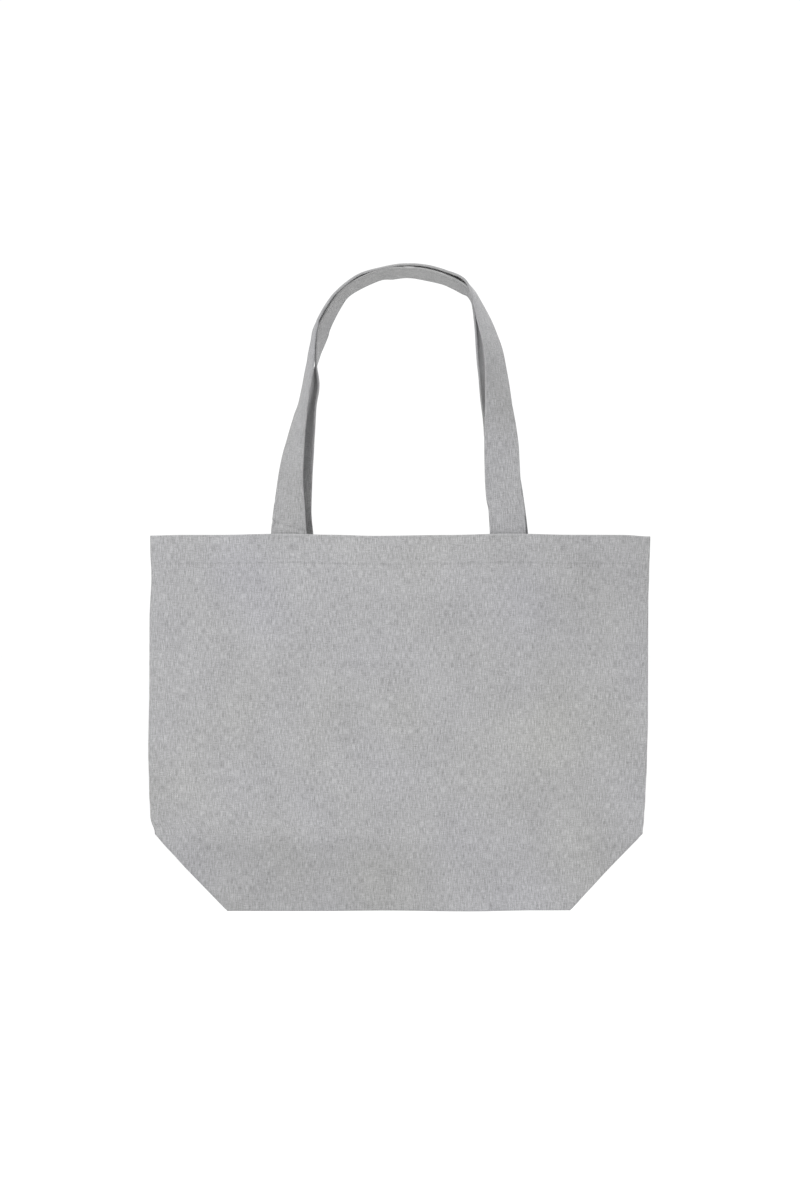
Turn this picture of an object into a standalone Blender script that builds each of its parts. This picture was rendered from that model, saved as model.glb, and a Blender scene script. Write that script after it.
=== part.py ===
"""A canvas tote bag with a boxed base, empty, hanging by its two handles.

Metres, +Z up, +X to the right, and the front faces -Y. The origin is the place that carries the bag, just
under the arches of the two handles. The empty bag hangs almost flat: its base is folded up inside it, as an
upside-down V between the panels. Each handle is one strap in reality. Here it is split where it leaves the
hem, because its free loop swings there.
"""

import math

import bmesh
import bpy
from mathutils import Vector

FRONT, BACK = -1, 1
LEFT, RIGHT = -1, 1
SIDE_NAME = {FRONT: "front", BACK: "back"}
HAND_NAME = {LEFT: "left", RIGHT: "right"}

# The cut of the bag
BAG_WIDTH = 0.500  # from side seam to side seam
BAG_HEIGHT = 0.376  # from the mouth to the bottom fold
BASE_DEPTH = 0.152  # of the base when it is opened out
HALF_OPEN = 0.022  # half of the depth at which the empty bag hangs
CLOTH = 0.001
HEM_HEIGHT = 0.030
HEM_PROUD = 0.0003  # the turned hem stands this far out from the wall below it
HEM_STITCH_DROP = 0.0285  # from the mouth down to the row of topstitching

# The handles
STRAP_WIDTH = 0.036
STRAP_THICKNESS = 0.0024  # four layers of canvas
STRAP_CORNER = 0.0006
SEWN_LENGTH = 0.028  # of the strap's end inside the hem
CARRY_HEIGHT = 0.254  # from the mouth up to the place that carries the bag

# Thread
THREAD_RADIUS = 0.00025
EDGE_STITCH_INSET = 0.0026  # from the strap's edge
BOX_STITCH_WIDTH = 0.030
BOX_STITCH_HEIGHT = 0.022
BOX_STITCH_BAND = 0.0007
BOX_STITCH_THICKNESS = 0.0004

GAP = 0.0003  # between pieces that touch
STRAP_STATIONS = 84  # along a handle's free loop
LINE_SAMPLES = 24  # between each two points of a handle's middle line
CORNER_SEAM_REACH = 0.80  # share of the half depth that a corner seam's thread reaches to each side

# Heights, from the origin
MOUTH_Z = -CARRY_HEIGHT
BOTTOM_Z = MOUTH_Z - BAG_HEIGHT

# Half widths and the folded base
SEAM_X = BAG_WIDTH / 2
CORNER_X = SEAM_X - BASE_DEPTH / 2  # where the bottom fold ends and a corner begins
BASE_RISE = math.sqrt((BASE_DEPTH / 2) ** 2 - HALF_OPEN**2)  # of the base's middle over the bottom fold
APEX_Z = BOTTOM_Z + BASE_RISE

# From the middle of the hem's outer cloth to the hem's two faces
WALL_OUTER = CLOTH / 2
HEM_INNER = CLOTH * 3 / 2
SEAM_WALL_Y = HEM_INNER + GAP / 2  # half the distance between the walls at a side seam
STRAP_Y = HALF_OPEN - HEM_INNER - GAP - STRAP_THICKNESS / 2  # middle of a strap's sewn end

# Each handle's middle line as (x, height over the mouth), from the left root over the arch to the right root.
# The front handle is the outer one, and the back handle nests inside it.
LOOPS = {
    FRONT: {
        "points": [
            (-0.111, 0.000), (-0.108, 0.055), (-0.1025, 0.100), (-0.094, 0.145), (-0.0885, 0.187),
            (-0.0795, 0.220), (-0.059, 0.248), (-0.030, 0.2655), (0.010, 0.271), (0.045, 0.264),
            (0.070, 0.246), (0.086, 0.210), (0.0945, 0.172), (0.099, 0.125), (0.103, 0.060), (0.108, 0.000),
        ],
        "full_turn": math.radians(88),
        "turned_by": {LEFT: 0.25, RIGHT: 0.28},
    },
    BACK: {
        "points": [
            (-0.105, 0.000), (-0.104, 0.045), (-0.097, 0.090), (-0.0850, 0.135), (-0.0785, 0.175),
            (-0.0705, 0.207), (-0.051, 0.2345), (-0.026, 0.251), (0.008, 0.2585), (0.037, 0.252),
            (0.059, 0.235), (0.0725, 0.207), (0.0835, 0.170), (0.094, 0.130), (0.103, 0.060), (0.110, 0.000),
        ],
        "full_turn": math.radians(104),
        "turned_by": {LEFT: 0.19, RIGHT: 0.27},
    },
}
ARCH_SHARE = (0.4, 0.6)  # of the loop, between which the left leg's turn goes over into the right leg's


def clear_scene():
    for thing in list(bpy.data.objects):
        bpy.data.objects.remove(thing, do_unlink=True)


def plain_material(name, colour, roughness):
    material = bpy.data.materials.new(name)
    material.use_nodes = True
    shader = material.node_tree.nodes["Principled BSDF"]
    shader.inputs["Base Color"].default_value = (*colour, 1.0)
    shader.inputs["Roughness"].default_value = roughness
    shader.inputs["Metallic"].default_value = 0.0
    return material


def add_piece(name, bm, material, parent, origin=(0.0, 0.0, 0.0)):
    """Turns a bmesh built in world coordinates into an object whose own origin is at origin."""
    bmesh.ops.recalc_face_normals(bm, faces=bm.faces)
    bmesh.ops.translate(bm, verts=bm.verts, vec=-Vector(origin))
    mesh = bpy.data.meshes.new(name)
    bm.to_mesh(mesh)
    bm.free()
    mesh.materials.append(material)
    piece = bpy.data.objects.new(name, mesh)
    bpy.context.collection.objects.link(piece)
    piece.parent = parent
    if parent is None:
        piece.location = origin
    return piece


def add_empty(name, location):
    empty = bpy.data.objects.new(name, None)
    empty.empty_display_size = 0.03
    bpy.context.collection.objects.link(empty)
    empty.location = location
    return empty


def loft(rings, creases=()):
    """A closed solid through rings of points, all with the same count, capped at both ends.

    A crease is the two (ring, point) corners between which one of the solid's faces is folded.
    """
    bm = bmesh.new()
    made = [[bm.verts.new(point) for point in ring] for ring in rings]
    count = len(made[0])
    for near, far in zip(made, made[1:]):
        for k in range(count):
            bm.faces.new((near[k], near[(k + 1) % count], far[(k + 1) % count], far[k]))
    bm.faces.new(made[0])
    bm.faces.new(made[-1])
    for (ring, point), (other_ring, other_point) in creases:
        start, end = made[ring][point], made[other_ring][other_point]
        folded = next(face for face in start.link_faces if face in end.link_faces[:])
        bmesh.utils.face_split(folded, start, end)
    return bm


def smoothstep(t):
    t = min(max(t, 0.0), 1.0)
    return t * t * (3 - 2 * t)


def blend(a, b, t):
    return a + (b - a) * t


# ---------------------------------------------------------------------------------------------------- panels


def closing(x):
    """0 over the flat middle of the bag, and up to 1 at a side seam."""
    return min(max((abs(x) - CORNER_X) / (SEAM_X - CORNER_X), 0.0), 1.0)


def wall_y(x):
    """How far the middle of the hem's outer cloth is from the bag's middle plane."""
    return blend(HALF_OPEN, SEAM_WALL_Y, closing(x))


def panel_section(side, x):
    """A panel cut across at x: down the outside, up under the folded base, down inside it, up to the hem."""
    middle = wall_y(x)
    outer, hem = middle + WALL_OUTER, middle - HEM_INNER
    wall_outer = outer - HEM_PROUD
    wall_inner = wall_outer - CLOTH
    fold_z = blend(BOTTOM_Z, APEX_Z, closing(x))
    lean = math.atan(HALF_OPEN / BASE_RISE)
    edge = blend(CLOTH / math.sin(lean), CLOTH, closing(x))  # height of the base's edge where its halves meet
    crotch = blend(CLOTH / math.tan(lean / 2), CLOTH, closing(x))  # from the fold up to its inside corner
    hem_z = MOUTH_Z - HEM_HEIGHT
    outline = [(outer, MOUTH_Z), (outer, hem_z), (wall_outer, hem_z), (wall_outer, fold_z)]
    outline += [(GAP / 2, APEX_Z), (GAP / 2, APEX_Z + edge), (wall_inner, fold_z + crotch)]
    outline += [(wall_inner, hem_z), (hem, hem_z), (hem, MOUTH_Z)]
    return [Vector((x, side * y, z)) for y, z in outline]


def make_panel(side, material, parent):
    left_seam, left_corner, right_corner, right_seam = range(4)
    fold, lower_meet, upper_meet, crotch = range(3, 7)  # the places of these points in a section
    creases = []
    for corner, seam in ((left_corner, left_seam), (right_corner, right_seam)):
        creases += [((corner, lower_meet), (seam, fold)), ((corner, upper_meet), (seam, crotch))]
    sections = [panel_section(side, x) for x in (-SEAM_X, -CORNER_X, CORNER_X, SEAM_X)]
    return add_piece(SIDE_NAME[side] + "_panel", loft(sections, creases), material, parent)


# ---------------------------------------------------------------------------------------------------- handles


def catmull_rom(points, steps):
    """A smooth line through points, with steps samples between each two. It leaves both ends straight up."""
    padded = [Vector((p.x, p.y, -p.z)) for p in (points[1], points[-2])]
    padded = [padded[0], *points, padded[1]]
    line = []
    for a, b, c, d in zip(padded, padded[1:], padded[2:], padded[3:]):
        for k in range(steps):
            t = k / steps
            bend = (2 * a - 5 * b + 4 * c - d) * t**2 + (3 * b - a - 3 * c + d) * t**3
            line.append(0.5 * (2 * b + (c - a) * t + bend))
    return [*line, points[-1]]


def even_line(points, count):
    """The same line as count points at even distances."""
    fine = catmull_rom(points, LINE_SAMPLES)
    reach = [0.0]
    for near, far in zip(fine, fine[1:]):
        reach.append(reach[-1] + (far - near).length)
    line, k = [], 0
    for n in range(count):
        wanted = reach[-1] * n / (count - 1)
        while k < len(reach) - 2 and reach[k + 1] < wanted:
            k += 1
        line.append(fine[k].lerp(fine[k + 1], (wanted - reach[k]) / (reach[k + 1] - reach[k])))
    return line


def turn(side, part_way, height):
    """How far the strap has turned from lying flat against the panel, at a height over the mouth."""
    risen = {hand: min(height / LOOPS[side]["turned_by"][hand], 1.0) for hand in (LEFT, RIGHT)}
    on_left, on_right = smoothstep(risen[LEFT]), smoothstep(risen[RIGHT])
    if side == FRONT:
        on_left = 1 - (1 - risen[LEFT]) ** 3  # this leg turns most near its foot
    start, end = ARCH_SHARE
    return LOOPS[side]["full_turn"] * blend(on_left, on_right, smoothstep((part_way - start) / (end - start)))


def strap_frames(side):
    """(point, across the width, out of the outer face) along a handle's free loop, from its left root."""
    points = [Vector((x, 0.0, height)) for x, height in LOOPS[side]["points"]]
    line = even_line(points, STRAP_STATIONS)
    top = max(point.z for point in line)
    frames = []
    for n, point in enumerate(line):
        along = (line[min(n + 1, len(line) - 1)] - line[max(n - 1, 0)]).normalized()
        if n in (0, len(line) - 1):
            along = Vector((0.0, 0.0, 1.0 if n == 0 else -1.0))
        outward = Vector((-along.z, 0.0, along.x))
        angle = turn(side, n / (len(line) - 1), point.z)
        face = math.cos(angle) * Vector((0.0, -1.0, 0.0)) + math.sin(angle) * outward
        across = face.cross(along).normalized()
        lean = side * STRAP_Y * (1 - point.z / top)
        frames.append((Vector((point.x, lean, MOUTH_Z + GAP + point.z)), across, face))
    return frames


def strap_ring(frame):
    point, across, face = frame
    w, t, c = STRAP_WIDTH / 2, STRAP_THICKNESS / 2, STRAP_CORNER
    corners = [(-w, -t + c), (-w + c, -t), (w - c, -t), (w, -t + c)]
    corners += [(w, t - c), (w - c, t), (-w + c, t), (-w, t - c)]
    return [point + a * across + f * face for a, f in corners]


def edge_thread_ring(frame, hand):
    """A square thread that runs along one edge of the strap, just off its outer face."""
    point, across, face = frame
    r = THREAD_RADIUS
    from_middle = hand * (STRAP_WIDTH / 2 - EDGE_STITCH_INSET)
    middle = point + from_middle * across + (STRAP_THICKNESS / 2 + GAP + r) * face
    return [middle + a * across + f * face for a, f in ((-r, -r), (r, -r), (r, r), (-r, r))]


def make_loop(side, material, thread, parent):
    name, frames = SIDE_NAME[side] + "_handle", strap_frames(side)
    hinge = parent.location
    add_piece(name, loft([strap_ring(frame) for frame in frames]), material, parent, hinge)
    for hand, edge in ((LEFT, "outer"), (RIGHT, "inner")):
        rings = [edge_thread_ring(frame, hand) for frame in frames[1:-1]]
        add_piece(f"{name}_{edge}_edge_stitching", loft(rings), thread, parent, hinge)


def block(low, high):
    """A box from its lowest to its highest corner."""
    (x0, y0, z0), (x1, y1, z1) = low, high
    return loft([[(x, y0, z0), (x, y1, z0), (x, y1, z1), (x, y0, z1)] for x in (x0, x1)])


def make_sewn_end(side, hand, material, parent):
    middle_x = LOOPS[side]["points"][0 if hand == LEFT else -1][0]
    ys = sorted(side * (STRAP_Y + s * STRAP_THICKNESS / 2) for s in (-1, 1))
    low = (middle_x - STRAP_WIDTH / 2, ys[0], MOUTH_Z - SEWN_LENGTH)
    high = (middle_x + STRAP_WIDTH / 2, ys[1], MOUTH_Z)
    add_piece(f"{SIDE_NAME[side]}_handle_{HAND_NAME[hand]}_end", block(low, high), material, parent)


# ---------------------------------------------------------------------------------------------------- thread


def make_box_stitch(side, hand, material, parent):
    """A stitched rectangle with both its diagonals, on the outside of the hem over a handle's end."""
    middle_x = LOOPS[side]["points"][0 if hand == LEFT else -1][0]
    middle_z = MOUTH_Z - SEWN_LENGTH / 2
    w, h, b = BOX_STITCH_WIDTH / 2, BOX_STITCH_HEIGHT / 2, BOX_STITCH_BAND
    slope = math.hypot(w, h)
    tip_x, tip_z = b * slope / h / 2, b * slope / w / 2  # from the crossing to the open triangles' tips
    inset_x, inset_z = w * b / h + tip_x, h * b / w + tip_z  # from the outline's corners to the triangles' feet
    corners = [(w, h), (-w, h), (-w, -h), (w, -h)]
    tips = [(0, tip_z), (-tip_x, 0), (0, -tip_z), (tip_x, 0)]
    feet = []  # the two outer corners of the open triangle beside each edge: top, left, bottom, right
    for k in range(4):
        dx, dz = (inset_x, b) if k % 2 == 0 else (b, inset_z)
        ends = (corners[k], corners[(k + 1) % 4])
        feet.append([(x - math.copysign(dx, x), z - math.copysign(dz, z)) for x, z in ends])
    bm = bmesh.new()
    outer_y = side * (HALF_OPEN + WALL_OUTER + GAP)

    def vertex(place):
        return bm.verts.new((middle_x + place[0], outer_y, middle_z + place[1]))

    corner_verts = [vertex(c) for c in corners]
    tip_verts = [vertex(t) for t in tips]
    foot_verts = [(vertex(a), vertex(c)) for a, c in feet]
    bm.faces.new(tip_verts)
    for k in range(4):
        after = (k + 1) % 4
        bm.faces.new((corner_verts[k], corner_verts[after], foot_verts[k][1], foot_verts[k][0]))
        bm.faces.new((corner_verts[after], foot_verts[after][0], foot_verts[k][1]))
        bm.faces.new((foot_verts[k][1], foot_verts[after][0], tip_verts[after], tip_verts[k]))
    flat = list(bm.faces)
    out = bmesh.ops.extrude_face_region(bm, geom=flat)
    moved = [g for g in out["geom"] if isinstance(g, bmesh.types.BMVert)]
    bmesh.ops.translate(bm, verts=moved, vec=(0.0, side * BOX_STITCH_THICKNESS, 0.0))
    add_piece(f"{SIDE_NAME[side]}_handle_{HAND_NAME[hand]}_box_stitching", bm, material, parent)


def make_thread(name, points, material, parent):
    """A round thread through points."""
    curve = bpy.data.curves.new(name, "CURVE")
    curve.dimensions = "3D"
    curve.bevel_depth = THREAD_RADIUS
    curve.bevel_resolution = 1
    curve.use_fill_caps = True
    curve.materials.append(material)
    spline = curve.splines.new("POLY")
    spline.points.add(len(points) - 1)
    for place, point in zip(spline.points, points):
        place.co = (*point, 1.0)
    thread = bpy.data.objects.new(name, curve)
    bpy.context.collection.objects.link(thread)
    thread.parent = parent


def make_hem_thread(side, material, parent):
    clear = WALL_OUTER + GAP + THREAD_RADIUS
    end_x = SEAM_X - 2 * THREAD_RADIUS
    xs = [-end_x, -CORNER_X, CORNER_X, end_x]
    points = [(x, side * (wall_y(x) + clear), MOUTH_Z - HEM_STITCH_DROP) for x in xs]
    make_thread(f"{SIDE_NAME[side]}_hem_stitching", points, material, parent)


def make_seam_threads(material, parent):
    lean = math.atan(HALF_OPEN / BASE_RISE)
    over_ridge = APEX_Z + CLOTH / math.sin(lean) + GAP + 3 * THREAD_RADIUS
    seam_inset = 0.0010
    apart = 0.0015  # between the end of one seam's thread and the corner seam's
    for hand in (LEFT, RIGHT):
        side_x, inner_x = hand * (SEAM_X - seam_inset), hand * (CORNER_X + apart)
        top_end = (side_x, 0.0, MOUTH_Z - HEM_HEIGHT - GAP)
        points = [top_end, (side_x, 0.0, over_ridge), (inner_x, 0.0, over_ridge)]
        make_thread(f"{HAND_NAME[hand]}_side_seam_thread", points, material, parent)
        foot_y = HALF_OPEN * CORNER_SEAM_REACH
        lift = CLOTH / math.sin(lean) + (GAP + 3 * THREAD_RADIUS) / math.sin(lean)
        foot_z = APEX_Z - foot_y / math.tan(lean) + lift
        top_z = APEX_Z + lift
        ends = [(hand * CORNER_X, y, foot_z) for y in (-foot_y, foot_y)]
        corner = [ends[0], (hand * CORNER_X, 0.0, top_z), ends[1]]
        make_thread(f"{HAND_NAME[hand]}_corner_seam_thread", corner, material, parent)
    end_x = CORNER_X - apart
    make_thread("base_seam_thread", [(-end_x, 0.0, over_ridge), (end_x, 0.0, over_ridge)], material, parent)


# ---------------------------------------------------------------------------------------------------- the bag


def main():
    clear_scene()
    canvas = plain_material("canvas", (0.42, 0.42, 0.425), 0.9)
    strap = plain_material("strap", (0.42, 0.42, 0.425), 0.9)
    thread = plain_material("thread", (0.45, 0.45, 0.455), 0.6)
    for side in (FRONT, BACK):
        make_panel(side, canvas, None)
        hinge = add_empty(SIDE_NAME[side] + "_hinge", (0.0, side * (HALF_OPEN + WALL_OUTER), MOUTH_Z))
        make_loop(side, strap, thread, hinge)
        make_hem_thread(side, thread, None)
        for hand in (LEFT, RIGHT):
            make_sewn_end(side, hand, strap, None)
            make_box_stitch(side, hand, thread, None)
    make_seam_threads(thread, None)


main()
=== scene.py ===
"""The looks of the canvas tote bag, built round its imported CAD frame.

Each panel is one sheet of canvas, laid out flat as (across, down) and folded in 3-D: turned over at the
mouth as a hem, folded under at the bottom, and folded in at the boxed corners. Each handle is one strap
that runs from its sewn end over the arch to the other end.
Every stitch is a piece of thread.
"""

import math

import bmesh
import bpy
import numpy as np
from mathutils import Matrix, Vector, noise


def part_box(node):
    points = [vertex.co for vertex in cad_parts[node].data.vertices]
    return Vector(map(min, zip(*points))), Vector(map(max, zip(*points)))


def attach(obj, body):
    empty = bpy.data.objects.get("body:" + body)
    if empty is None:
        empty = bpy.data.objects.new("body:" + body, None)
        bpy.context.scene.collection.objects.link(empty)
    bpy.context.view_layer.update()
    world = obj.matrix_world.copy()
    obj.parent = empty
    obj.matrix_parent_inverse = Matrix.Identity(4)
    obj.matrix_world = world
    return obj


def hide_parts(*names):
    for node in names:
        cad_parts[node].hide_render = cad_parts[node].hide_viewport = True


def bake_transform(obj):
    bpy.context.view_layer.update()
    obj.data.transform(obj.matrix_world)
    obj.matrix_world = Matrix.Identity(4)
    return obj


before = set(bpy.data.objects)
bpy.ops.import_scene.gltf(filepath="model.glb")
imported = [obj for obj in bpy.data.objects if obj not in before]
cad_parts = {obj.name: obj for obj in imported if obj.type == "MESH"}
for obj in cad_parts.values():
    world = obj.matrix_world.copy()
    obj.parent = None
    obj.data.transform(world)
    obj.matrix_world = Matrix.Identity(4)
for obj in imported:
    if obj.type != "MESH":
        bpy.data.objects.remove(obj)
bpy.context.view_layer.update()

MM = 0.001
FRONT, BACK = -1, 1
NAME = {FRONT: "front", BACK: "back"}

# -------------------- sizes, from the frame

panel_low, panel_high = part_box("front_panel")
SEAM_X = panel_high.x
MOUTH_Z = panel_high.z
BOTTOM_Z = panel_low.z
HEIGHT = MOUTH_Z - BOTTOM_Z
OUTER_Y = -panel_low.y
end_low, end_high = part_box("front_handle_left_end")
STRAP_WIDTH = end_high.x - end_low.x
STRAP_THICKNESS = end_high.y - end_low.y
STRAP_Y = -(end_low.y + end_high.y) / 2
SEWN_LENGTH = end_high.z - end_low.z
corner_low, corner_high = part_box("right_corner_seam_thread")
CORNER_X = (corner_low.x + corner_high.x) / 2
CORNER = SEAM_X - CORNER_X  # half of the opened base's depth
hem_low, hem_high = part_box("front_hem_stitching")
HEM_STITCH_DROP = MOUTH_Z - (hem_low.z + hem_high.z) / 2
box_low, box_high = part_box("front_handle_left_box_stitching")
BOX_WIDTH, BOX_HEIGHT = box_high.x - box_low.x, box_high.z - box_low.z
BOX_MIDDLE = MOUTH_Z - (box_low.z + box_high.z) / 2

MOUTH_FLAT_X = 128 * MM  # the mouth's two sides lie parallel up to here

CLOTH = 0.65 * MM
HALF_CLOTH = CLOTH / 2
HEM_ROUND = 0.68 * MM  # of the cloth's middle where it turns over at the mouth
HEM_DEPTH = 30 * MM
TUCK_ROUND = 0.34 * MM
TUCK = 9 * MM  # raw edge turned under inside the hem
HEM_OVER = math.pi * HEM_ROUND  # along the cloth from the mouth: over the top, down inside, and back up
HEM_UNDER = HEM_OVER + HEM_DEPTH
HEM_BACK_UP = HEM_UNDER + math.pi * TUCK_ROUND
FOLD_ROUND = 0.85 * MM  # at the bottom and corner folds
SEAM_ROUND = 1.5 * MM
SEAM_APART = 0.42 * MM  # the middle of the cloth from the bag's middle plane at a side seam
SEAM_DEPTH = 0.9 * MM  # how deep the rounding at a side seam is
WALL_SPARE = 0.8 * MM  # room inside the CAD wall for folds and waves
WALL_Y = OUTER_Y - HALF_CLOTH  # the middle of a wall's cloth, where the bag is widest
FULL_DEPTH = WALL_Y - SEAM_APART - SEAM_DEPTH - WALL_SPARE

STITCH_PITCH = 2.54 * MM
STITCH_LENGTH = 2.05 * MM
THREAD_RADIUS = 0.26 * MM
EDGE_STITCH_INSET = 2.6 * MM
SEAM_STITCH_INSET = 0.9 * MM

YARN = 0.95 * MM  # from one yarn of the weave to the next
YARN_CONTRAST = 1.9425
FIBRE_CONTRAST = 0.6475
BLOTCH_CONTRAST = 0.185
CANVAS_GREY = (0.283, 0.283, 0.287)
STRAP_GREY = (0.260, 0.260, 0.264)
THREAD_GREY = (0.29, 0.29, 0.294)
THREAD_TWIST = 9000.0  # radians to the metre


# -------------------- small tools


def smooth(t):
    t = np.clip(t, 0.0, 1.0)
    return t * t * (3 - 2 * t)


def eased(x, knots):
    """A smooth line through (x, value) knots, level at each of them."""
    xs, values = np.array(knots, float).T
    x = np.clip(x, xs[0], xs[-1])
    k = np.clip(np.searchsorted(xs, x, side="right") - 1, 0, len(xs) - 2)
    return values[k] + (values[k + 1] - values[k]) * smooth((x - xs[k]) / (xs[k + 1] - xs[k]))


def wander(x, z, size, seed):
    """Smooth noise from -1 to 1 with features of about size, at arrays of places."""
    flat = [
        noise.noise(Vector((a / size, b / size, seed)))
        for a, b in zip(np.ravel(x), np.ravel(z))
    ]
    return np.array(flat).reshape(np.shape(x))


def dent(x, h, centre, size, turn, height):
    """A soft oblong swelling, as (x, height over the bottom) places see it."""
    dx, dh = x - centre[0], h - centre[1]
    c, s = math.cos(math.radians(turn)), math.sin(math.radians(turn))
    along, over = (dx * c + dh * s) / size[0], (-dx * s + dh * c) / size[1]
    return height * np.exp(-(along**2) - over**2)


def new_object(name, mesh, material):
    mesh.materials.append(material)
    piece = bpy.data.objects.new(name, mesh)
    bpy.context.collection.objects.link(piece)
    return piece


def mesh_from(name, points, faces, uvs=None):
    """A smooth-shaded mesh, with one UV place in metres of flat cloth for each point."""
    mesh = bpy.data.meshes.new(name)
    mesh.from_pydata([tuple(p) for p in points], [], faces)
    mesh.validate()
    mesh.shade_smooth()
    if uvs is not None:
        layer = mesh.uv_layers.new(name="cloth")
        corners = np.empty(len(mesh.loops), int)
        mesh.loops.foreach_get("vertex_index", corners)
        layer.data.foreach_set("uv", np.asarray(uvs, np.float32)[corners].ravel())
    return mesh


# -------------------- materials


class Nodes:
    """A short way to write a material's nodes."""

    def __init__(self, name):
        self.material = bpy.data.materials.new(name)
        self.material.use_nodes = True
        self.tree = self.material.node_tree
        self.shader = self.tree.nodes["Principled BSDF"]

    def add(self, kind, inputs=None, **settings):
        node = self.tree.nodes.new("ShaderNode" + kind)
        for key, value in settings.items():
            setattr(node, key, value)
        for key, value in (inputs or {}).items():
            self.set(node.inputs[key], value)
        return node

    def set(self, socket, value):
        if isinstance(value, bpy.types.NodeSocket):
            self.tree.links.new(value, socket)
        else:
            socket.default_value = value

    def math(self, operation, a, b=0.0):
        node = self.add("Math", operation=operation)
        self.set(node.inputs[0], a)
        self.set(node.inputs[1], b)
        return node.outputs[0]

    def noise(self, place, across, along, detail, roughness):
        """Noise from 0 to 1, with so many features to the metre across the cloth and along it."""
        scaled = self.add("VectorMath", {0: place, 1: (across, along, 1.0)}, operation="MULTIPLY")
        made = {"Vector": scaled.outputs[0], "Scale": 1.0, "Detail": detail, "Roughness": roughness}
        return self.add("TexNoise", made, noise_dimensions="2D").outputs["Fac"]

    def varied(self, tone, pattern, contrast):
        """tone made lighter and darker by a pattern that runs from 0 to 1."""
        change = self.math("MULTIPLY", self.math("SUBTRACT", pattern, 0.5), contrast)
        return self.math("ADD", tone, change)

    def colour(self, tone, levels):
        """The shader's base colour: tone times the red, green and blue levels."""
        node = self.add("CombineColor")
        for socket, level in zip(node.inputs, levels):
            self.set(socket, self.math("MULTIPLY", tone, level))
        self.set(self.shader.inputs["Base Color"], node.outputs[0])

    def fade(self, value, start, end):
        """1 at start and before it, changing smoothly to 0 at end."""
        settings = {0: value, 1: start, 2: end, 3: 1.0, 4: 0.0}
        return self.add("MapRange", settings, interpolation_type="SMOOTHSTEP").outputs[0]

    def mix(self, factor, a, b):
        """a at factor 0 and b at 1, for numbers."""
        node = self.add("Mix", data_type="FLOAT")
        for socket, value in zip([node.inputs[0], node.inputs[2], node.inputs[3]], (factor, a, b)):
            self.set(socket, value)
        return node.outputs[0]


def canvas_material(name, grey, panel=False):
    """Grey heather canvas: a plain weave of yarns that each run light and dark along their length."""
    n = Nodes(name)
    place = n.add("UVMap", uv_map="cloth").outputs[0]
    parts = n.add("SeparateXYZ", {0: place})
    u, v = parts.outputs[0], parts.outputs[1]
    warp_wave = n.math("SINE", n.math("MULTIPLY", u, math.pi / YARN))
    weft_wave = n.math("SINE", n.math("MULTIPLY", v, math.pi / YARN))
    crossing = n.math("MULTIPLY", warp_wave, weft_wave)  # over 0 where the warp is on top
    crown = n.math("POWER", n.math("ABSOLUTE", crossing), 0.55)
    warp_on_top = n.math("GREATER_THAN", crossing, 0.0)
    warp = n.noise(place, 1250.0, 120.0, 3.0, 0.62)
    weft = n.noise(place, 145.0, 1250.0, 3.0, 0.62)
    fibre = n.noise(place, 1500.0, 1500.0, 2.0, 0.6)
    blotch = n.noise(place, 26.0, 17.0, 2.0, 0.5)
    tint = n.noise(place, 9.0, 7.0, 1.0, 0.5)
    yarns = n.mix(n.mix(warp_on_top, 0.42, 0.88), weft, warp)
    tone = n.varied(1.0, yarns, YARN_CONTRAST)
    tone = n.varied(tone, fibre, FIBRE_CONTRAST)
    tone = n.varied(tone, blotch, BLOTCH_CONTRAST)
    # painted shade: the weave is darker in the hollows between the yarns' crowns and a little lighter on
    # them
    tone = n.math("MULTIPLY", tone, n.mix(crown, 0.86, 1.03))
    if panel:  # painted shade: its lower left and its upper right are darkened in colour, where shade falls on them
        lower = n.fade(v, 45 * MM - HEIGHT, 90 * MM - HEIGHT)
        shade = n.math("MULTIPLY", lower, n.fade(u, -50 * MM, 110 * MM))
        tone = n.math("MULTIPLY", tone, n.mix(shade, 1.0, 0.925))
        upper = n.fade(v, -60 * MM, -180 * MM)
        shade = n.math("MULTIPLY", upper, n.fade(u, 150 * MM, 50 * MM))
        tone = n.math("MULTIPLY", tone, n.mix(shade, 1.0, 0.95))
    n.colour(tone, (grey[0], grey[1], n.math("MULTIPLY", grey[2], n.mix(tint, 0.96, 1.04))))
    n.set(n.shader.inputs["Roughness"], n.mix(fibre, 0.86, 0.97))
    n.set(n.shader.inputs["Specular IOR Level"], 0.25)
    n.set(n.shader.inputs["Sheen Weight"], 0.12)
    n.set(n.shader.inputs["Sheen Roughness"], 0.6)
    height = n.math("ADD", crown, n.math("MULTIPLY", yarns, 0.8))
    bump = n.add("Bump", {"Strength": 0.55, "Distance": 0.00022, "Height": height})
    n.set(n.shader.inputs["Normal"], bump.outputs[0])
    return n.material


def thread_material(name, grey):
    """Spun polyester sewing thread: a fine twist along each stitch."""
    n = Nodes(name)
    place = n.add("UVMap", uv_map="cloth").outputs[0]
    parts = n.add("SeparateXYZ", {0: place})
    along, round_it = parts.outputs[0], parts.outputs[1]
    twist = n.math("MULTIPLY", along, THREAD_TWIST)
    turn = n.math("ADD", twist, n.math("MULTIPLY", round_it, 2 * math.pi))
    ply = n.math("ABSOLUTE", n.math("SINE", turn))
    fuzz = n.noise(place, 2500.0, 3.0, 2.0, 0.6)
    # painted shade: the thread is darker in the grooves between its plies and lighter on their tops
    n.colour(n.varied(n.mix(ply, 0.82, 1.06), fuzz, 0.3), grey)
    n.set(n.shader.inputs["Roughness"], n.mix(ply, 0.75, 0.55))
    n.set(n.shader.inputs["Sheen Weight"], 0.15)
    bump = n.add("Bump", {"Strength": 0.5, "Distance": 0.0001, "Height": ply})
    n.set(n.shader.inputs["Normal"], bump.outputs[0])
    return n.material


# -------------------- panels

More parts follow.
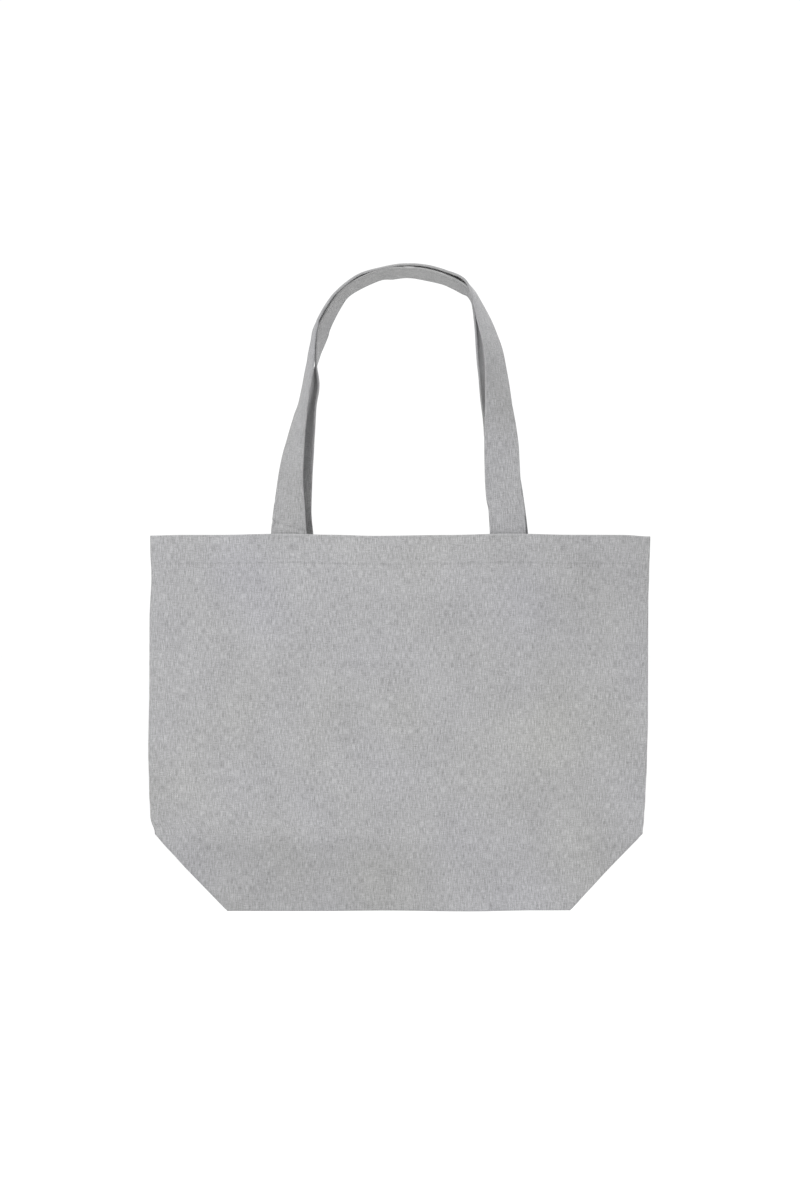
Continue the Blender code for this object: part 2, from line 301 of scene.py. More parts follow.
# How the empty bag sags: its outline, away from the plain pattern, as (place in metres, millimetres)
MOUTH_DROP = [
    (-0.250, 1.3), (-0.220, 0.7), (-0.180, 0.8), (-0.112, -0.4), (-0.070, 0.7), (-0.025, 1.8),
    (0.050, 0.9), (0.110, -0.5), (0.170, 0.7), (0.222, 0.7), (0.250, 2.1),
]
LEFT_EDGE = [
    (0.000, 2.4), (0.040, 2.8), (0.060, 4.1), (0.076, 5.3), (0.094, 0.6), (0.120, -0.5), (0.160, -1.4),
    (0.230, -0.3), (0.290, -0.2), (0.338, 1.7), (0.360, 0.6), (0.376, 0.4),
]
RIGHT_EDGE = [
    (0.000, 6.3), (0.020, 7.5), (0.040, 8.3), (0.076, 7.8), (0.092, 6.3), (0.112, 5.0), (0.150, 3.4),
    (0.190, 2.4), (0.312, 2.0), (0.340, 1.1), (0.376, 0.0),
]
BOTTOM_LIFT = [(-0.174, 0.0), (-0.080, 0.1), (-0.010, 0.7), (0.070, 0.0), (0.140, 1.2), (0.174, 1.4)]


# Folds and waves as (middle, size, turn in degrees, height in millimetres), in x and height over the bottom
WAVES = {
    FRONT: [
        ((0.035, 0.315), (0.060, 0.013), 8, 0.9), ((-0.030, 0.212), (0.085, 0.012), -6, 0.8),
        ((-0.008, 0.118), (0.070, 0.012), 5, 0.8), ((-0.130, 0.042), (0.042, 0.006), 42, 2.6),
        ((-0.205, 0.105), (0.030, 0.016), 20, 1.2), ((0.150, 0.150), (0.030, 0.120), 10, 1.2),
        ((-0.060, 0.058), (0.130, 0.009), 3, -0.9),
    ],
    BACK: [
        ((-0.060, 0.290), (0.080, 0.014), -8, 1.0), ((0.070, 0.180), (0.070, 0.015), 10, 1.0),
        ((0.150, 0.040), (0.045, 0.006), 138, 1.1),
    ],
}
WAVE_SEED = {FRONT: 3.7, BACK: 11.3}


def fold_height(q):
    """How far the cloth lies from the bottom of a rounded fold, at q along the cloth from it."""
    turned = np.minimum(np.abs(q), FOLD_ROUND * math.pi / 2)
    lost = (math.pi / 2 - 1) * FOLD_ROUND * (1 - smooth((np.abs(q) - 1.5 * FOLD_ROUND) / (4 * MM)))
    straight = np.abs(q) - turned
    height = FOLD_ROUND * (1 - np.cos(turned / FOLD_ROUND)) + straight
    return height + (math.pi / 2 - 1) * FOLD_ROUND - lost


def swell(side, x, h):
    """Folds and waves in a panel: how far it stands out of its plain shape."""
    out = sum(dent(x, h, middle, size, turn, height * MM) for middle, size, turn, height in WAVES[side])
    seed = WAVE_SEED[side]
    out += 1.1 * MM * wander(x, h, 0.120, seed) + 0.45 * MM * wander(x * 0.7, h, 0.040, seed + 1)
    out *= 1 - 0.7 * smooth((h - (HEIGHT - 60 * MM)) / (30 * MM))  # the hem is stiffer
    return out + 0.10 * MM * wander(x, h, 0.013, seed + 2)


def over_base(x, h):
    """How far a place is over the double edge of the folded base, which lies a little askew."""
    return h - CORNER * (0.93 - 0.10 * x / SEAM_X)


def base_ridge(x, h):
    """The wall lies over the folded base, and steps out where the base's double edge ends."""
    reach = smooth((SEAM_X - np.abs(x)) / (30 * MM))
    return reach * 0.6 * MM * np.exp(-((over_base(x, h) / (6 * MM)) ** 2))


def lower_lean(x, h):
    """Below the base's double edge the wall leans in to the bottom fold, more at the left."""
    return 1 - (0.40 - 0.32 * x / SEAM_X) * smooth(-over_base(x, h) / (45 * MM))


def hem_relief(side, x, drop):
    """The hem's three layers stand a little proud, and its stitching pulls them in."""
    seed = 21.0 + side
    past = drop - HEM_STITCH_DROP
    pull = np.exp(-((past / (1.1 * MM)) ** 2))
    pucker = 1 + 0.6 * wander(x, 0 * x, 6 * MM, seed)
    puff = np.exp(-(((drop - HEM_STITCH_DROP / 2) / (11 * MM)) ** 4))
    below = smooth(past / (2 * MM)) * np.exp(-np.maximum(past, 0) / (9 * MM))
    return 0.22 * MM * puff - 0.62 * MM * pull * pucker - 0.35 * MM * below * pucker


def within(distance, half, margin, soft):
    """1 within half and a margin of a middle, falling to 0 over the soft distance at its edge."""
    return smooth((half + margin - distance) / soft)


def strap_relief(side, x, drop):
    """A strap's end pushes the hem out, and its crossed box of stitching pulls it in."""
    out = 0.0 * x
    slope = BOX_HEIGHT / BOX_WIDTH
    for root in (HANDLES[side][0][0] * MM, HANDLES[side][-1][0] * MM):
        a, d = x - root, drop - BOX_MIDDLE
        beside, level = np.abs(a), np.abs(d)
        under = within(beside, STRAP_WIDTH / 2, 1 * MM, 3 * MM) * within(drop, SEWN_LENGTH, 1 * MM, 3 * MM)
        crossed = [np.abs(a - d / slope) * slope, np.abs(a + d / slope) * slope]
        outline = [np.abs(beside - BOX_WIDTH / 2), np.abs(level - BOX_HEIGHT / 2)]
        nearest = np.min(crossed + outline, axis=0)
        boxed = within(beside, BOX_WIDTH / 2, 1.5 * MM, MM) * within(level, BOX_HEIGHT / 2, 1.5 * MM, MM)
        out = out + 0.45 * MM * under - 0.65 * MM * np.exp(-((nearest / (0.9 * MM)) ** 2)) * boxed
    return out


def depth(side, x, h):
    """How far the middle of a wall's cloth is from the bag's middle plane, at x and h over the bottom."""
    from_seam = np.clip((SEAM_X - np.abs(x)) / (SEAM_X - CORNER_X), 0, 1)
    boxed = 0.35 * smooth(from_seam) + 0.65 * from_seam
    closed = np.clip((np.abs(x) - MOUTH_FLAT_X) / (SEAM_X - MOUTH_FLAT_X), 0, 1)
    lens = 1 - closed ** (1.15 + 1.25 * smooth((h - (HEIGHT - 76 * MM)) / (76 * MM)))
    waist = 0.22 * np.exp(-(((h - 0.18) / 0.08) ** 2))  # the empty walls come together half way up
    sag = (0.26 - 0.16 * x / SEAM_X) * (1 - smooth(h / (150 * MM)))  # and lean in below, more at the left
    open_here = (1 - waist) * (1 - sag) * lower_lean(x, h)
    shape = boxed + (lens - boxed) * smooth(h / 0.20)  # the base's wedge, and over it the mouth's lens
    inside = np.clip((SEAM_X - np.abs(x)) / SEAM_ROUND, 0, 1)
    rounded = SEAM_DEPTH * np.sqrt(np.clip(1 - (1 - inside) ** 2, 0, 1))
    relief = swell(side, x, h) + base_ridge(x, h)
    relief = relief + hem_relief(side, x, HEIGHT - h) + strap_relief(side, x, HEIGHT - h)
    fade = smooth((SEAM_X - np.abs(x)) / (25 * MM))
    return SEAM_APART + rounded + FULL_DEPTH * shape * open_here + relief * fade


def outline_shift(side, x, h):
    """Where the sagging cloth moves a place on the plain pattern to, in x and in height."""
    left, right = eased(h, LEFT_EDGE) * MM, eased(h, RIGHT_EDGE) * MM
    share = (x + SEAM_X) / (2 * SEAM_X)
    dx = left * (1 - share) ** 2 - right * share**2
    drop = eased(x, MOUTH_DROP) * MM
    lift = eased(x, BOTTOM_LIFT) * MM
    if side == BACK:
        drop = drop - 0.6 * MM * np.exp(-((x / 0.090) ** 2))
        lift = lift - 1.2 * MM * np.exp(-(((x - 0.085) / 0.075) ** 2))
    return dx, -drop * smooth((h - 0.10) / (HEIGHT - 0.10)) + lift * (1 - smooth(h / 0.12))


def hem_fold(past):
    """How far in and up from the mouth the hem's cloth lies, at past along it from the mouth."""
    turn = np.clip(past / HEM_ROUND, 0, math.pi)
    tuck = np.clip((past - HEM_UNDER) / TUCK_ROUND, 0, math.pi)
    inward = HEM_ROUND * (1 - np.cos(turn)) - TUCK_ROUND * (1 - np.cos(tuck))
    rise = HEM_ROUND * np.sin(turn) - np.clip(past - HEM_OVER, 0, HEM_DEPTH) - TUCK_ROUND * np.sin(tuck)
    return inward, rise + np.maximum(past - HEM_BACK_UP, 0)


def cloth_place(side, s, t):
    """Where the place (s across, t down) on a panel's flat cloth lies in the bag.

    t is 0 at the mouth and negative in the hem, which is turned over to the inside.
    """
    w = HEIGHT - np.maximum(t, 0.0)  # up the flat cloth from the bottom fold, and negative in the base
    a = np.maximum(np.abs(s) - CORNER_X, 0.0)  # past the corner's start
    corner = a > 0
    m = (a + w) / 2  # along the corner's diagonal crease
    q = np.where(corner, (w - a) / math.sqrt(2), w)  # from the crease or the bottom fold
    lift = fold_height(q)
    x = np.where(corner, np.sign(s) * (CORNER_X + m - lift / math.sqrt(2)), s)
    h = np.where(corner, m + lift / math.sqrt(2), lift)
    x = np.sign(x) * np.minimum(np.abs(x), SEAM_X)
    turned = FOLD_ROUND * np.sin(np.minimum(np.abs(q) / FOLD_ROUND, math.pi / 2))
    wall = depth(side, x, h) - (FOLD_ROUND - turned)
    crease_x = np.where(corner, np.sign(s) * (CORNER_X + m), s)
    crease_h = np.where(corner, m, 0.0)
    at_fold = depth(side, crease_x, crease_h)
    climbed = np.clip((h - crease_h) / np.maximum(CORNER - crease_h, 1e-6), 0, 1)
    base = (at_fold - FOLD_ROUND - turned) * (1 - climbed) + SEAM_APART * climbed
    y = np.maximum(np.where(q >= 0, wall, base), SEAM_APART)

    past = np.maximum(-t, 0.0)
    inward, rise = hem_fold(past)
    top = HEIGHT - HEM_ROUND - HALF_CLOTH
    in_hem = past > 0
    hem_h = top + rise
    hem_y = depth(side, s, np.minimum(hem_h, top)) - inward * smooth((SEAM_X - np.abs(s)) / (4 * MM))
    x = np.where(in_hem, s, x)
    h = np.where(in_hem, hem_h, np.where(t <= 0, np.minimum(h, top), h))
    h = np.where(in_hem, h, h * (top / HEIGHT) ** smooth((h - 0.30) / 0.076))
    y = np.maximum(np.where(in_hem, hem_y, y), SEAM_APART)
    dx, dz = outline_shift(side, x, np.clip(h, 0, HEIGHT))
    return np.stack([x + dx, side * y, BOTTOM_Z + h + dz], -1)


def panel_columns():
    """Places across the cloth: close together at the corners and the seams."""
    corner = CORNER_X + np.arange(0, CORNER - 1 * MM, 2 * MM)
    edge = SEAM_X - np.array([3.0, 2.0, 1.3, 0.8, 0.4, 0.1, 0.0]) * MM
    strap_low, strap_high = 88 * MM, 128 * MM
    middle = np.concatenate([
        np.arange(0, strap_low, 3 * MM),
        np.arange(strap_low, strap_high, 1.3 * MM),
        np.arange(strap_high + 1.5 * MM, CORNER_X - 1 * MM, 3 * MM),
    ])
    half = np.concatenate([middle, corner[corner < edge[0] - 0.5 * MM], edge])
    return np.concatenate([-half[:0:-1], half])


def panel_rows():
    """Places down the cloth, from the raw edge in the hem to the base's middle seam."""
    hem = np.concatenate([
        np.linspace(HEM_BACK_UP + TUCK, HEM_BACK_UP, 4),
        np.linspace(HEM_BACK_UP, HEM_UNDER, 5)[1:],
        np.linspace(HEM_UNDER, HEM_OVER, 12)[1:],
        np.linspace(HEM_OVER, 0, 9)[1:-1],
    ])
    stitch = HEM_STITCH_DROP + np.arange(-4, 5) * 0.7 * MM
    upper = np.concatenate([np.linspace(0, stitch[0], 20)[:-1], stitch])
    lower = np.linspace(upper[-1], HEIGHT - CORNER, 66)[1:]
    corner = HEIGHT - CORNER + np.arange(1, 38) * 2 * MM
    fold = HEIGHT + np.array([-1.0, 0.0, 1.0, 2.0, 4.0]) * MM
    base = HEIGHT + np.linspace(7 * MM, CORNER, 20)
    return np.concatenate([-hem, upper, lower, corner, fold, base])


def make_panel(side, material):
    name = NAME[side] + "_panel_cloth"
    columns, rows = panel_columns(), panel_rows()
    s, t = np.meshgrid(columns, rows, indexing="ij")
    points = cloth_place(side, s, t)
    count = len(rows)
    faces = []
    for i in range(len(columns) - 1):
        middle = (columns[i] + columns[i + 1]) / 2
        for j in range(count - 1):
            if abs(middle) > CORNER_X and rows[j] >= HEIGHT - 1e-9:
                continue  # the square cut out at each corner
            a, b = i * count + j, (i + 1) * count + j
            c, d = b + 1, a + 1
            in_corner = abs(middle) > CORNER_X and rows[j] > HEIGHT - CORNER - MM
            if not in_corner:
                cell = [(a, b, c, d)]
            elif middle > 0:
                cell = [(a, b, d), (b, c, d)]
            else:
                cell = [(a, b, c), (a, c, d)]
            faces += [f if side == FRONT else f[::-1] for f in cell]
    used = sorted({v for f in faces for v in f})
    place = {old: new for new, old in enumerate(used)}
    flat_points = points.reshape(-1, 3)[used]
    uvs = np.stack([s.ravel(), -t.ravel()], -1)[used]
    mesh = mesh_from(name, flat_points, [tuple(place[v] for v in f) for f in faces], uvs)
    piece = new_object(name, mesh, material)
    solid = piece.modifiers.new("Thickness", "SOLIDIFY")
    solid.thickness, solid.offset = CLOTH, 0.0
    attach(piece, "bag")
    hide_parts(NAME[side] + "_panel")


# -------------------- handles

# Each strap's middle as (x, height over the mouth, turn), in millimetres and in degrees from lying flat
# against the panel
HANDLES = {
    FRONT: [
        (-110.7, 0, 8), (-110.5, 20, 27), (-108.6, 62, 48.5), (-103.5, 97, 62), (-99.5, 118, 70),
        (-96.3, 133, 75.5), (-90, 168, 79.5), (-88.5, 182, 81), (-86.8, 194, 83.5), (-84.7, 206, 84.5),
        (-80, 217, 89), (-63.5, 241.5, 89), (-40, 259, 88), (-8, 267.8, 87), (11, 269.3, 87),
        (28, 267.3, 87), (45, 262.5, 89), (62.3, 254.5, 91), (72.5, 243, 82), (82.6, 217.5, 70),
        (91.7, 189.5, 61),
        (95.5, 166, 54), (98.8, 125, 39), (101, 90, 17), (102.2, 58, 9), (103.7, 38, 5), (106, 25, 2),
        (107.4, 0, 0),
    ],
    BACK: [
        (-105, 0, 0), (-106.5, 22, 10), (-103.5, 58, 28), (-97.3, 92, 50), (-90.8, 122, 68),
        (-85.6, 145, 75.5), (-85.0, 158, 80.5), (-84.3, 167, 87), (-82.3, 181, 95.5), (-80, 191, 101.6),
        (-78, 200, 106.5), (-75.5, 209, 106.8), (-63, 231.5, 103.3), (-50.3, 245.4, 102.5),
        (-22, 259.2, 101.5), (-6, 261.3, 104), (8, 261.7, 102), (22, 260.5, 102), (44, 255, 100),
        (64, 245, 100.5), (71, 236, 90), (75, 220, 85), (79.5, 192, 80), (83, 163, 73), (92.7, 121.5, 55),
        (99.5, 83, 37), (105, 48, 18), (108.2, 22, 8), (110.7, 0, 0),
    ],
}
STRAP_STEP = 1.6 * MM
STRAP_RIPPLE = 30 * MM  # from one small twist of a loop to the next
STRAP_TWIST = 3.0  # degrees, the most that those twists turn it
ROOT_GAP = 0.12 * MM  # between a strap's sewn end and the hem's inside


def through(knots, count):
    """count places at even distances along a smooth line through knots, and the line's length.

    A knot's first three numbers are its place, and the rest go along with it.
    """
    knots = np.array(knots, float)
    padded = np.vstack([2 * knots[0] - knots[1], knots, 2 * knots[-1] - knots[-2]])
    fine = []
    for a, b, c, d in zip(padded, padded[1:], padded[2:], padded[3:]):
        for t in np.linspace(0, 1, 24, endpoint=False):
            square, cube = 2 * a - 5 * b + 4 * c - d, 3 * b - a - 3 * c + d
            fine.append(0.5 * (2 * b + (c - a) * t + square * t**2 + cube * t**3))
    fine = np.array(fine + [knots[-1]])
    reach = np.concatenate([[0], np.cumsum(np.linalg.norm(np.diff(fine[:, :3], axis=0), axis=1))])
    wanted = np.linspace(0, reach[-1], count)
    line = np.stack([np.interp(wanted, reach, values) for values in fine.T], -1)
    return line, reach[-1]


def root_depth(side, x):
    """How far a strap's sewn end at x lies from the bag's middle plane, against the inside of the hem."""
    width = x + np.linspace(-0.5, 0.5, 13) * STRAP_WIDTH
    across, down = np.meshgrid(width, np.linspace(0, SEWN_LENGTH, 9))
    hem_inside = depth(side, across, HEIGHT - down).min() - 2 * HEM_ROUND - HALF_CLOTH
    return hem_inside - ROOT_GAP - STRAP_THICKNESS / 2


# Creases as (leg, height over the mouth, rise for each millimetre across, width, depth), in millimetres
LEFT_LEG, RIGHT_LEG = -1, 1
CREASES = {
    FRONT: [
        (LEFT_LEG, 7.2, 0.30, 1.5, 1.5), (LEFT_LEG, 17.0, 0.9, 2.5, 0.5), (RIGHT_LEG, 26.0, -1.5, 2.2, 0.8),
        (RIGHT_LEG, 122.0, 0.4, 1.6, 0.45), (RIGHT_LEG, 60.0, 0.8, 3.0, 0.35),
    ],
    BACK: [
        (LEFT_LEG, 22.0, 0.8, 2.2, 0.5), (RIGHT_LEG, 12.0, 0.5, 1.8, 0.6),
        (RIGHT_LEG, 90.0, -0.6, 3.0, 0.3),
    ],
}


def strap_creases(side, a, x, h):
    """Soft dents across a strap, at a across it, by the leg it is on and the height over the mouth."""
    out = 0.0 * h
    for leg, height, rise, width, deep in CREASES[side]:
        here = (x < 0) if leg == LEFT_LEG else (x >= 0)
        out = out + here * deep * MM * np.exp(-(((h - height * MM - rise * a) / (width * MM)) ** 2))
    return out


class Strap:
    """A handle's middle line with its two directions: across the width, and out of its outer face."""

    def __init__(self, side):
        top = max(h for _, h, _ in HANDLES[side])
        roots = [root_depth(side, HANDLES[side][root][0] * MM) for root in (0, -1)]
        knots = []
        for x, h, turn in HANDLES[side]:
            lean = side * roots[x > 0] * (1 - h / top)
            knots.append((x * MM, lean, MOUTH_Z + h * MM, turn))
        drops = (3 * MM, SEWN_LENGTH / 2, SEWN_LENGTH)
        sewn = [(knots[0][0], knots[0][1], knots[0][2] - drop, 0) for drop in drops[::-1]]
        far = [(knots[-1][0], knots[-1][1], knots[-1][2] - drop, 0) for drop in drops]
        _, self.length = through(sewn + knots + far, 3)
        count = round(self.length / STRAP_STEP) + 1
        line, _ = through(sewn + knots + far, count)
        self.points = line[:, :3]
        self.reach = np.linspace(0, self.length, count)
        along = np.gradient(self.points, axis=0)
        along /= np.linalg.norm(along, axis=1)[:, None]
        free = smooth((self.points[:, 2] - MOUTH_Z - 6 * MM) / (30 * MM))
        ripple = np.array([noise.noise(Vector((r / STRAP_RIPPLE, side, 5.0))) for r in self.reach])
        turn = np.radians(line[:, 3] + STRAP_TWIST * ripple * free)
        outward = np.stack([-along[:, 2], 0 * turn, along[:, 0]], -1)
        face = np.cos(turn)[:, None] * np.array([0.0, -1.0, 0.0]) + np.sin(turn)[:, None] * outward
        across = np.cross(face, along)
        self.across = across / np.linalg.norm(across, axis=1)[:, None]
        self.face = np.cross(along, self.across)

    def at(self, reach, a, f):
        """The place at reach along the strap, a across it and f out of its face, and the face's direction.

        All three are arrays, with one entry for each place.
        """
        middle, across, face = [
            np.stack([np.interp(reach, self.reach, values[:, k]) for k in range(3)], -1)
            for values in (self.points, self.across, self.face)
        ]
        return middle + a[:, None] * across + f[:, None] * face, face


def strap_section():
    """(across, out) corners of a folded strap: four layers, pinched by a row of stitching along each edge.

    One edge is a single fold, and in the other the two turned-in edges meet in a groove.
    """
    w, t = STRAP_WIDTH / 2, STRAP_THICKNESS / 2
    pinch = w - EDGE_STITCH_INSET
    upper = [(-w + 0.1 * MM, t * 0.45), (-w + 0.5 * MM, t * 0.85), (-w + 1.2 * MM, t)]
    upper += [(-pinch - 0.6 * MM, t * 0.98), (-pinch, t * 0.80), (-pinch + 0.7 * MM, t * 0.97)]
    crowned = np.linspace(-w + 6 * MM, w - 6 * MM, 9)
    upper += [(a, t * (1.0 + 0.06 * math.cos(math.pi * a / (2 * w)))) for a in crowned]
    upper += [(-a, f) for a, f in upper[5:2:-1]]
    upper += [(w - 1.2 * MM, t), (w - 0.4 * MM, t * 0.9), (w, t * 0.5)]
    groove = [(w - 0.5 * MM, 0.0)]
    lower = [(a, -f) for a, f in upper[::-1]]
    fold = [(-w, 0.0)]
    return upper + groove + lower + fold


def make_strap(side, material):
    strap = Strap(side)
    section = strap_section()
    count, ring = len(strap.points), len(section)
    rows = []
    for k, (a, f) in enumerate(section):
        uneven, sway = [
            np.array([noise.noise(Vector((r / size, offset, seed + side))) for r in strap.reach])
            for size, offset, seed in ((14 * MM, k * 0.45, 31.0), (18 * MM, math.copysign(7.0, a), 41.0))
        ]
        place, _ = strap.at(strap.reach, np.full(count, a), f * (1 + 0.07 * uneven))
        dented = strap_creases(side, a, place[:, 0], place[:, 2] - MOUTH_Z)
        rows.append(place + (0.22 * MM * sway)[:, None] * strap.across - dented[:, None] * strap.face)
    points = np.stack(rows, 1)  # station, corner of the section
    reach_round = np.concatenate([[0], np.cumsum(np.linalg.norm(np.diff(section, axis=0), axis=1))])
    faces = []
    for i in range(count - 1):
        for k in range(ring):
            j = (k + 1) % ring
            faces.append((i * ring + k, (i + 1) * ring + k, (i + 1) * ring + j, i * ring + j))
    faces.append(tuple(range(ring)))
    faces.append(tuple(range((count - 1) * ring, count * ring))[::-1])
    cut_from = 0.31 if side == FRONT else 0.67  # where the two straps lie on the flat cloth
    uvs = [(cut_from + around, reach) for reach in strap.reach for around in reach_round]
    name = NAME[side] + "_handle_strap"
    mesh = mesh_from(name, points.reshape(-1, 3), faces, uvs)
    bm = bmesh.new()
    bm.from_mesh(mesh)
    bmesh.ops.recalc_face_normals(bm, faces=bm.faces)
    bm.to_mesh(mesh)
    bm.free()
    piece = new_object(name, mesh, material)
    body = NAME[side] + "_handle"
    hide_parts(body, body + "_left_end", body + "_right_end")
    bend_at_mouth(piece)
    return strap


def bend_at_mouth(piece):
    """Bakes the piece's placement into its mesh."""
    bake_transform(piece)


# -------------------- stitches


def stitches(name, rows, material):
    """Rows of stitches as one mesh.

    A row is (places, outward directions, along directions), with one entry for each stitch.
    """
    rings, sides = 5, 6
    verts, faces, uvs = [], [], []
    for row, (places, outs, alongs) in enumerate(rows):
        for n, (place, out, along) in enumerate(zip(places, outs, alongs)):
            along = along / np.linalg.norm(along)
            out = out - along * np.dot(out, along)
            out = out / np.linalg.norm(out)
            beside = np.cross(along, out)
            jitter = noise.noise(Vector((n * 1.7, row * 3.1, 9.0)))
            length = STITCH_LENGTH * (1 + 0.06 * jitter)
            first = len(verts)
            for r in range(rings):
                f = r / (rings - 1) * 2 - 1
                thick = THREAD_RADIUS * math.sqrt(max(1 - 0.75 * f**4, 0.05))
                rise = THREAD_RADIUS * (0.35 - 1.3 * f**4)  # its ends dip into the cloth
                drift = 0.12 * MM * f * (1 + jitter)
                middle = place + along * (f * length / 2) + out * rise + beside * drift
                for k in range(sides):
                    angle = 2 * math.pi * k / sides
                    verts.append(middle + thick * (math.cos(angle) * out * 0.8 + math.sin(angle) * beside))
                    uvs.append((n * STITCH_PITCH + f * length / 2, k / sides))
            for r in range(rings - 1):
                for k in range(sides):
                    a, b = first + r * sides + k, first + r * sides + (k + 1) % sides
                    faces.append((a, a + sides, b + sides, b))
            faces.append(tuple(first + k for k in range(sides)))
            faces.append(tuple(first + (rings - 1) * sides + k for k in range(sides))[::-1])
    return new_object(name, mesh_from(name, verts, faces, uvs), material)


def finish_stitches(name, rows, node, material):
    """Stitches on the bag itself, in place of a CAD node."""
    piece = stitches(name, rows, material)
    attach(piece, "bag")
    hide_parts(node)


def surface_row(side, s_values, t_values, inside=False, layer=0.0):
    """Stitches on a panel's flat cloth, on its outer face or on its inner one, layer further in."""
    step = 0.4 * MM
    middle = cloth_place(side, s_values, t_values)
    across = cloth_place(side, s_values + step, t_values) - cloth_place(side, s_values - step, t_values)
    up = cloth_place(side, s_values, t_values - step) - cloth_place(side, s_values, t_values + step)
    out = np.cross(across, up)
    out /= np.linalg.norm(out, axis=1)[:, None]
    out = out * np.where(out[:, 1] * side > 0, 1.0, -1.0)[:, None]
    if inside:
        out = -out
    return middle + out * (HALF_CLOTH + layer), out, np.gradient(middle, axis=0)


def line_of_stitches(start, end):
    """(across, down) places of the stitches on a straight line on the cloth."""
    start, end = np.array(start, float), np.array(end, float)
    count = max(int(np.linalg.norm(end - start) / STITCH_PITCH), 2)
    share = (np.arange(count) + 0.5) / count
    return [start[k] + (end[k] - start[k]) * share for k in (0, 1)]


def make_hem_stitches(side, material):
    s, t = line_of_stitches((-SEAM_X + 2 * MM, HEM_STITCH_DROP), (SEAM_X - 2 * MM, HEM_STITCH_DROP))
    rows = [surface_row(side, s, t), surface_row(side, s, t, inside=True, layer=2 * HEM_ROUND)]
    finish_stitches(NAME[side] + "_hem_stitches", rows, NAME[side] + "_hem_stitching", material)


def make_box_stitches(side, hand, material):
    """The crossed box at a strap's root, on the hem's outer face and on the strap's inner one."""
    root = HANDLES[side][0 if hand == "left" else -1][0] * MM
    x0, x1 = root - BOX_WIDTH / 2, root + BOX_WIDTH / 2
    t0, t1 = BOX_MIDDLE - BOX_HEIGHT / 2, BOX_MIDDLE + BOX_HEIGHT / 2
    corners = [(x0, t0), (x1, t0), (x1, t1), (x0, t1)]
    lines = list(zip(corners, corners[1:] + corners[:1]))
    lines += [(corners[0], corners[2]), (corners[1], corners[3])]
    strap_layer = 2 * HEM_ROUND + STRAP_THICKNESS + 0.35 * MM
    rows = []
    for start, end in lines:
        s, t = line_of_stitches(start, end)
        rows.append(surface_row(side, s, t))
        rows.append(surface_row(side, s, t, inside=True, layer=strap_layer))
    name = f"{NAME[side]}_handle_{hand}_box_stitch"
    finish_stitches(name + "es", rows, name + "ing", material)


def between_panels(start, end):
    """A row of stitches in a seam that joins the two panels: its places lie in the bag's middle plane."""
    middle = cloth_place(FRONT, *line_of_stitches(start, end)) * np.array([1.0, 0.0, 1.0])
    return middle, middle * 0 + [0, -1, 0], np.gradient(middle, axis=0)


def make_seam_stitches(material):
    """The threads that join the panels, between the layers at each seam."""
    for hand, name in ((-1, "left"), (1, "right")):
        s = hand * (SEAM_X - SEAM_STITCH_INSET)
        upper = between_panels((s, HEM_DEPTH + 1 * MM), (s, HEIGHT - CORNER - 1.5 * MM))
        folded = between_panels((s, HEIGHT - CORNER + 2 * MM), (s, HEIGHT - 3 * MM))
        finish_stitches(f"{name}_side_seam_stitches", [upper, folded], f"{name}_side_seam_thread", material)
        s = hand * (CORNER_X - SEAM_STITCH_INSET)
        seam = line_of_stitches((s, HEIGHT + 0.2 * CORNER), (s, HEIGHT + CORNER - SEAM_STITCH_INSET))
        rows = []
        for side in (FRONT, BACK):
            middle = cloth_place(side, *seam)
            rows.append((middle, middle * 0 + [0, 0, 1], np.gradient(middle, axis=0)))
        finish_stitches(f"{name}_corner_seam_stitches", rows, f"{name}_corner_seam_thread", material)
    t = HEIGHT + CORNER - SEAM_STITCH_INSET
    base = between_panels((-CORNER_X + 1 * MM, t), (CORNER_X - 1 * MM, t))
    finish_stitches("base_seam_stitches", [base], "base_seam_thread", material)


def make_edge_stitches(side, strap, material):
    body = NAME[side] + "_handle"
    count = int(strap.length / STITCH_PITCH)
    reach = (np.arange(count) + 0.5) * strap.length / count
    along = np.stack([np.interp(reach, strap.reach, np.gradient(strap.points[:, k])) for k in range(3)], -1)
    for hand, edge in ((-1, "outer"), (1, "inner")):
        rows = []
        for out in (1, -1):
            a = np.full(count, hand * (STRAP_WIDTH / 2 - EDGE_STITCH_INSET))
            f = np.full(count, out * STRAP_THICKNESS / 2 * 0.80)
            place, face = strap.at(reach, a, f)
            rows.append((place, face * out, along))
        piece = stitches(f"{body}_{edge}_edge_stitches", rows, material)
        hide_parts(f"{body}_{edge}_edge_stitching")
        bend_at_mouth(piece)


# -------------------- stage


def make_stage():
    """A pale floor, 0.3 m under the bag."""
    z = BOTTOM_Z - 0.30
    reach = 40.0
    corners = [(-reach, -reach, z), (reach, -reach, z), (reach, reach, z), (-reach, reach, z)]
    mesh = bpy.data.meshes.new("floor")
    mesh.from_pydata(corners, [], [(0, 1, 2, 3)])
    pale = bpy.data.materials.new("pale_floor")
    pale.use_nodes = True
    shader = pale.node_tree.nodes["Principled BSDF"]
    shader.inputs["Base Color"].default_value = (0.96, 0.96, 0.96, 1.0)
    shader.inputs["Roughness"].default_value = 0.9
    new_object("floor", mesh, pale)


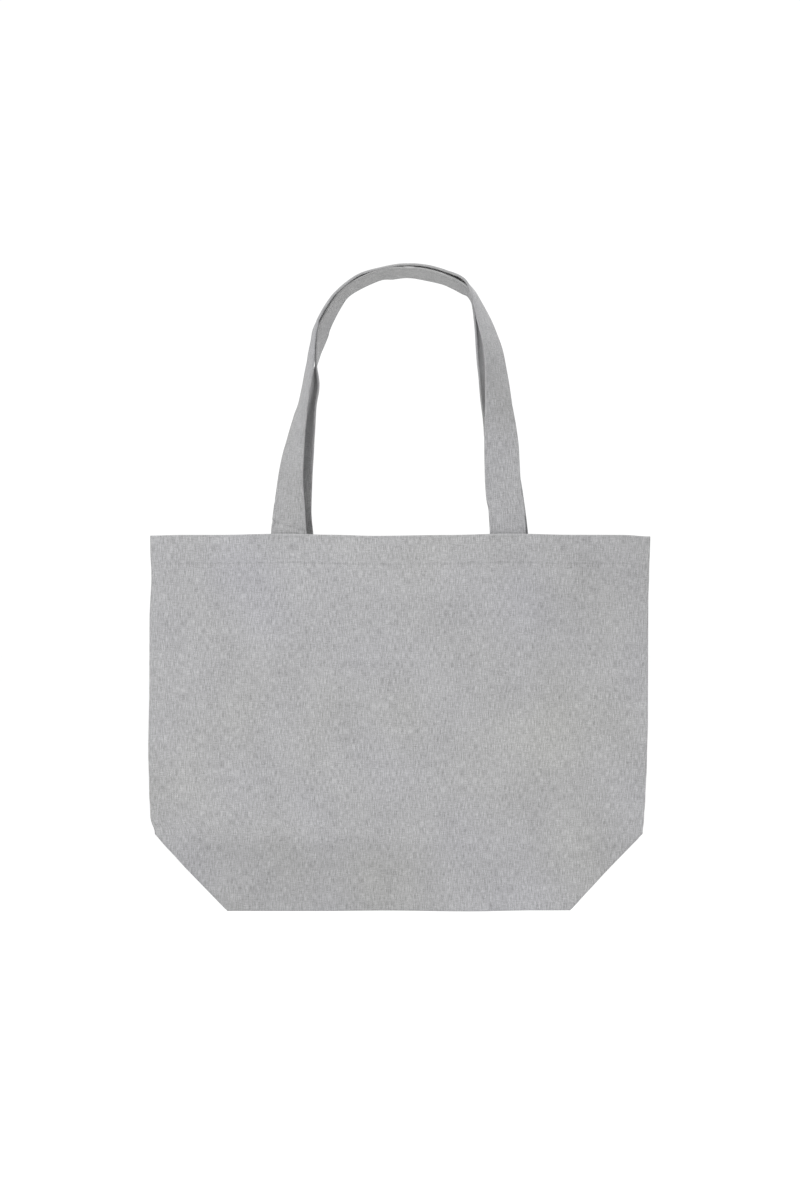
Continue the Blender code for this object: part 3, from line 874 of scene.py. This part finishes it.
def make_light(name, place, size, power, target):
    light = bpy.data.lights.new(name, "AREA")
    light.shape, light.size, light.energy = "SQUARE", size, power
    lamp = bpy.data.objects.new(name, light)
    bpy.context.collection.objects.link(lamp)
    lamp.location = place
    lamp.rotation_euler = (Vector(target) - Vector(place)).to_track_quat("-Z", "Y").to_euler()


def make_lights():
    """White light from all round, a soft key from the upper left, and a fill for the back."""
    world = bpy.data.worlds.new("studio")
    world.use_nodes = True
    background = world.node_tree.nodes["Background"]
    background.inputs["Color"].default_value = (1.0, 1.0, 1.0, 1.0)
    background.inputs["Strength"].default_value = 1.05
    bpy.context.scene.world = world
    middle = (0.0, 0.0, (MOUTH_Z + BOTTOM_Z) / 2)
    make_light("key", (-0.60, -1.95, 1.80), size=0.9, power=56.0, target=middle)
    make_light("back_fill", (1.7, 2.0, 1.5), size=1.2, power=35.0, target=middle)
    bpy.context.scene.view_settings.view_transform = "Standard"


def make_camera():
    """Level with the bag and straight in front, so that it sees 0.8 by 1.2 m at the bag's middle plane."""
    seen_height, distance, sensor = 1.2, 4.0, 36.0
    under_mouth = 0.0657  # how far below the mouth's height it is
    data = bpy.data.cameras.new("camera")
    data.sensor_width = sensor
    data.lens = sensor * distance / seen_height
    data.clip_end = 100.0
    camera = bpy.data.objects.new("camera", data)
    bpy.context.collection.objects.link(camera)
    camera.location = (0.0, -distance, MOUTH_Z - under_mouth)
    camera.rotation_euler = (math.pi / 2, 0.0, 0.0)
    bpy.context.scene.camera = camera


# -------------------- the scene


def main():
    make_camera()
    make_stage()
    make_lights()
    canvas = canvas_material("heather_canvas", CANVAS_GREY, panel=True)
    strap_cloth = canvas_material("heather_strap", STRAP_GREY)
    thread = thread_material("grey_thread", THREAD_GREY)
    for side in (FRONT, BACK):
        make_panel(side, canvas)
        make_hem_stitches(side, thread)
        strap = make_strap(side, strap_cloth)
        make_edge_stitches(side, strap, thread)
        for hand in ("left", "right"):
            make_box_stitches(side, hand, thread)
    make_seam_stitches(thread)


main()
bpy.context.view_layer.update()
